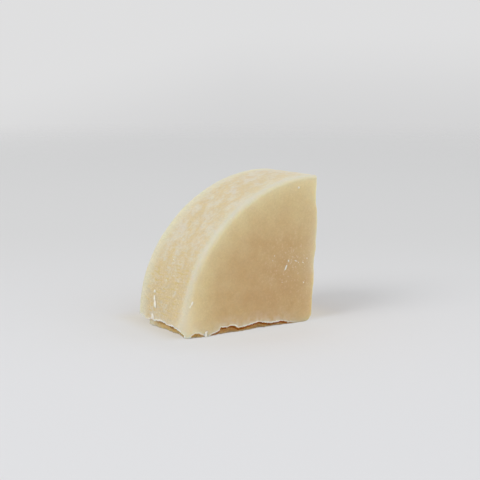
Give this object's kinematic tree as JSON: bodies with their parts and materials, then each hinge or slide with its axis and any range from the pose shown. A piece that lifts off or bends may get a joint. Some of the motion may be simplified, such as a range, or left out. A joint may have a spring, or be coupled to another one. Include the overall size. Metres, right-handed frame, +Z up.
{
  "type": "conditioner bar",
  "caption": "Quarter-round wedge of waxy hair conditioner, knife-cut from a cast disc, with rounded rim edges and crumbled lower edges, standing on one cut face.",
  "frame": {"origin": "on the resting cut face, at the bottom centre of the bar's box", "axes": "+Z up, -Y out of the flat quarter-round face, +X towards the upright cut side"},
  "size_m": [0.0398, 0.0268, 0.038],
  "materials": {
    "wax": "smooth waxy satin, pale cream to tan"
  },
  "bodies": {
    "root": {"conditioner_bar": "wax"}
  },
  "joints": []
}
